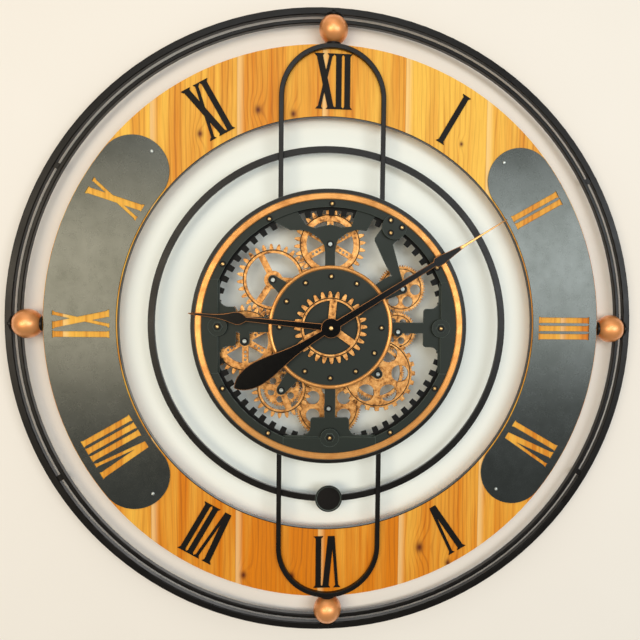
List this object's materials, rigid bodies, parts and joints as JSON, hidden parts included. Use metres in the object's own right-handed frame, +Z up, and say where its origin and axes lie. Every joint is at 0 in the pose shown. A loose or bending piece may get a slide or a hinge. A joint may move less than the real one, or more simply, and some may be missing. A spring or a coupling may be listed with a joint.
{
  "type": "wall clock",
  "caption": "Round wall clock with a double metal rim, a wooden dial ring with Roman numerals, and an open movement whose coupled copper wheels turn behind the hands.",
  "frame": {"origin": "on the axis of the hands, at the wall plane (back face of the housing cover)", "axes": "+X to the right and +Z up as seen from the front, +Y into the wall, so the dial faces -Y"},
  "size_m": [0.8023, 0.061, 0.8024],
  "materials": {
    "rim_paint": "satin black",
    "numeral_paint": "satin black",
    "copper": "satin copper",
    "brass": "polished brass",
    "wood": "satin varnish",
    "plate_steel": "brushed dark bronze",
    "movement_paint": "matt black",
    "hand_paint": "matt black",
    "steel": "plain",
    "black_plastic": "matt",
    "cell_can": "printed sleeve"
  },
  "bodies": {
    "clock": {"outer_rim": "rim_paint", "inner_rim": "rim_paint", "rim_ties": "rim_paint", "ball_pads": "rim_paint", "dial_edge_hoop": "rim_paint", "upper_loop": "rim_paint", "lower_loop": "rim_paint", "middle_ring": "rim_paint", "numeral_12": "numeral_paint", "numeral_1": "numeral_paint", "numeral_5": "numeral_paint", "numeral_6": "numeral_paint", "numeral_7": "numeral_paint", "numeral_11": "numeral_paint", "rim_balls": "copper", "centre_gear": "copper", "brass_screws": "brass", "gold_bezel": "brass", "centre_ring": "brass", "stem_nut": "brass", "wood_dial": "wood", "left_hour_plate": "plate_steel", "right_hour_plate": "plate_steel", "case_ring": "movement_paint", "toothed_ring": "movement_paint", "front_ring": "movement_paint", "left_bracket": "movement_paint", "right_bracket": "movement_paint", "bottom_bracket": "movement_paint", "top_bracket": "movement_paint", "click_arm": "movement_paint", "click_plate": "movement_paint", "frame_bosses": "movement_paint", "pivot_spider": "movement_paint", "centre_plate": "movement_paint", "foot_plate": "movement_paint", "gear_posts": "steel", "ball_studs": "steel", "hanger": "steel", "wood_screws": "steel", "gear_motor": "steel", "movement_housing": "black_plastic", "housing_cover": "black_plastic", "quartz_module": "black_plastic", "battery_cells": "cell_can"},
    "lower_right_wheel_body": {"lower_right_wheel": "copper"},
    "right_wheel_body": {"right_wheel": "copper"},
    "upper_right_wheel_body": {"upper_right_wheel": "copper"},
    "drive_pinion_body": {"drive_pinion": "brass"},
    "bottom_wheel_body": {"bottom_wheel": "copper"},
    "lower_left_wheel_body": {"lower_left_wheel": "copper"},
    "left_wheel_body": {"left_wheel": "copper"},
    "upper_left_wheel_body": {"upper_left_wheel": "copper"},
    "top_wheel_body": {"top_wheel": "copper"},
    "minute": {"minute_hand": "hand_paint", "hand_nut": "brass", "minute_arbor": "steel"},
    "hour": {"hour_hand": "hand_paint"},
    "knob": {"set_knob": "black_plastic"}
  },
  "joints": [
    {"name": "lower_right_wheel_spin", "type": "hinge", "parent": "clock", "child": "lower_right_wheel_body", "pos_m": [0.06044, -0.03, -0.05919], "axis": [0, 1, 0], "continuous": true},
    {"name": "right_wheel_spin", "type": "hinge", "parent": "clock", "child": "right_wheel_body", "pos_m": [0.08531, -0.03, -0.00513], "axis": [0, 1, 0], "continuous": true},
    {"name": "upper_right_wheel_spin", "type": "hinge", "parent": "clock", "child": "upper_right_wheel_body", "pos_m": [0.09025, -0.03, 0.04914], "axis": [0, 1, 0], "continuous": true},
    {"name": "drive_pinion_spin", "type": "hinge", "parent": "clock", "child": "drive_pinion_body", "pos_m": [0.05298, -0.03, 0.03461], "axis": [0, 1, 0], "continuous": true},
    {"name": "bottom_wheel_spin", "type": "hinge", "parent": "clock", "child": "bottom_wheel_body", "pos_m": [-0.00158, -0.03, -0.10311], "axis": [0, 1, 0], "continuous": true},
    {"name": "lower_left_wheel_spin", "type": "hinge", "parent": "clock", "child": "lower_left_wheel_body", "pos_m": [-0.06113, -0.03, -0.07965], "axis": [0, 1, 0], "continuous": true},
    {"name": "left_wheel_spin", "type": "hinge", "parent": "clock", "child": "left_wheel_body", "pos_m": [-0.10674, -0.03, -0.01824], "axis": [0, 1, 0], "continuous": true},
    {"name": "upper_left_wheel_spin", "type": "hinge", "parent": "clock", "child": "upper_left_wheel_body", "pos_m": [-0.07231, -0.03, 0.05838], "axis": [0, 1, 0], "continuous": true},
    {"name": "top_wheel_spin", "type": "hinge", "parent": "clock", "child": "top_wheel_body", "pos_m": [-0.00178, -0.03, 0.10401], "axis": [0, 1, 0], "continuous": true},
    {"name": "minute_turn", "type": "hinge", "parent": "clock", "child": "minute", "pos_m": [0, -0.057, 0], "axis": [0, 1, 0], "continuous": true},
    {"name": "hour_turn", "type": "hinge", "parent": "clock", "child": "hour", "pos_m": [0, -0.054, 0], "axis": [0, 1, 0], "continuous": true},
    {"name": "knob_turn", "type": "hinge", "parent": "clock", "child": "knob", "pos_m": [0, -0.003, -0.018], "axis": [0, 1, 0], "continuous": true}
  ],
  "couplings": [
    {"joint": "right_wheel_spin", "follows": "lower_right_wheel_spin", "ratio": -1.4286},
    {"joint": "upper_right_wheel_spin", "follows": "lower_right_wheel_spin", "ratio": 1.1667},
    {"joint": "drive_pinion_spin", "follows": "lower_right_wheel_spin", "ratio": -3.5},
    {"joint": "bottom_wheel_spin", "follows": "lower_right_wheel_spin", "ratio": -0.85366},
    {"joint": "lower_left_wheel_spin", "follows": "lower_right_wheel_spin", "ratio": 1.5217},
    {"joint": "left_wheel_spin", "follows": "lower_right_wheel_spin", "ratio": -1.25},
    {"joint": "upper_left_wheel_spin", "follows": "lower_right_wheel_spin", "ratio": 1.25},
    {"joint": "top_wheel_spin", "follows": "lower_right_wheel_spin", "ratio": -1.25},
    {"joint": "hour_turn", "follows": "minute_turn", "ratio": 0.083333},
    {"joint": "knob_turn", "follows": "minute_turn", "ratio": -1}
  ]
}
